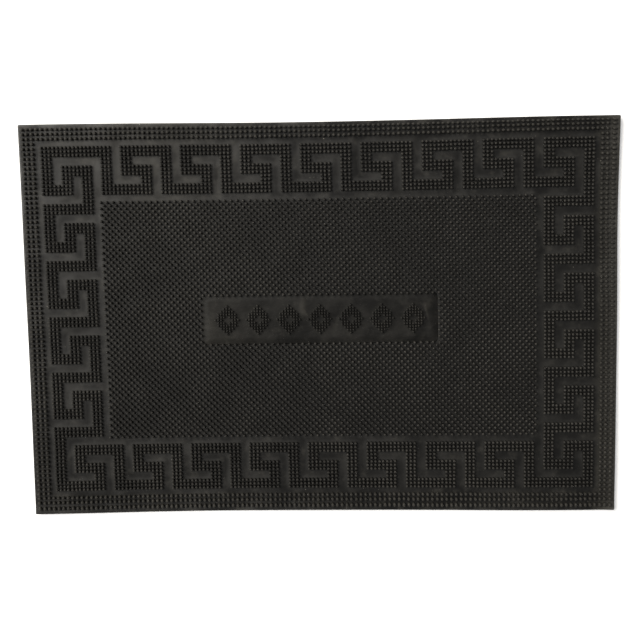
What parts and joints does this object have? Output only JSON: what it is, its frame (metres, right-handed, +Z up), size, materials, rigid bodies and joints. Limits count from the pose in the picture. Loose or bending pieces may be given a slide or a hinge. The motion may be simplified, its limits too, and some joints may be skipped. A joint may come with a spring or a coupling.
{
  "type": "door mat",
  "caption": "Rectangular rubber pin door mat with a pinned edge, a Greek key band, a staggered pin field and a smooth central plaque with a row of pin lozenges.",
  "frame": {"origin": "centre of the mat's length and width, at the underside that lies on the floor", "axes": "+X along the long side, +Y along the short side towards the rear edge, +Z up out of the pinned face"},
  "size_m": [0.6, 0.4, 0.007],
  "materials": {
    "smooth_rubber": "satin moulded, dusty",
    "edge_pin_rubber": "satin moulded",
    "key_pin_rubber": "satin moulded",
    "field_pin_rubber": "satin moulded",
    "plaque_rubber": "smooth satin moulded",
    "ornament_pin_rubber": "satin moulded"
  },
  "bodies": {
    "root": {"base_sheet": "smooth_rubber", "edge_pins_rear": "edge_pin_rubber", "edge_pins_front": "edge_pin_rubber", "edge_pins_left": "edge_pin_rubber", "edge_pins_right": "edge_pin_rubber", "key_pins_rear": "key_pin_rubber", "key_pins_front": "key_pin_rubber", "key_pins_left": "key_pin_rubber", "key_pins_right": "key_pin_rubber", "field_pins_rear": "field_pin_rubber", "field_pins_front": "field_pin_rubber", "field_pins_left": "field_pin_rubber", "field_pins_right": "field_pin_rubber", "plaque": "plaque_rubber", "ornament_1": "ornament_pin_rubber", "ornament_2": "ornament_pin_rubber", "ornament_3": "ornament_pin_rubber", "ornament_4": "ornament_pin_rubber", "ornament_5": "ornament_pin_rubber", "ornament_6": "ornament_pin_rubber", "ornament_7": "ornament_pin_rubber"}
  },
  "joints": []
}
